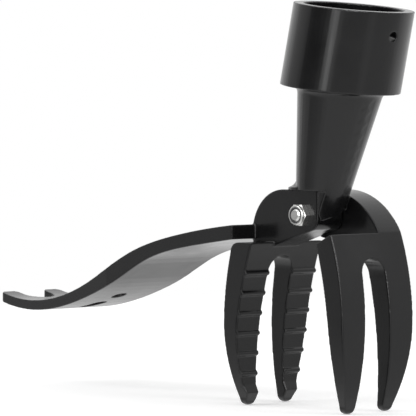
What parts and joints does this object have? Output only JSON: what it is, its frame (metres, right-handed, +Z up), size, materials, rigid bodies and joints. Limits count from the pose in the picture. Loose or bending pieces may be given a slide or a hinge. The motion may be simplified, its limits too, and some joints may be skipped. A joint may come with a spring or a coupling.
{
  "type": "stand up weeder head",
  "caption": "Claw weeder head: a pole socket and claw fork casting hinged by a bolt and lock nut to a foot pedal and toothed claw fork casting.",
  "frame": {"origin": "on the ground under the middle of the head, which stands on its four claw tips", "axes": "+Z up, +Y along the hinge bolt towards its head, +X from the foot pedal towards the outer fork"},
  "size_m": [0.2162, 0.046, 0.1567],
  "materials": {
    "black_coating": "satin black powder coat on cast aluminium",
    "zinc_steel": "bright zinc plate",
    "nylon": "moulded nylon"
  },
  "bodies": {
    "handle": {"handle_casting": "black_coating"},
    "pedal": {"pedal_casting": "black_coating", "hinge_bolt": "zinc_steel", "lock_nut": "zinc_steel", "lock_nut_insert": "nylon"}
  },
  "joints": [
    {"name": "claw_hinge", "type": "hinge", "parent": "handle", "child": "pedal", "pos_m": [0.06346, 0, 0.0744], "axis": [0, -1, 0], "range_deg": [0, 11]}
  ]
}
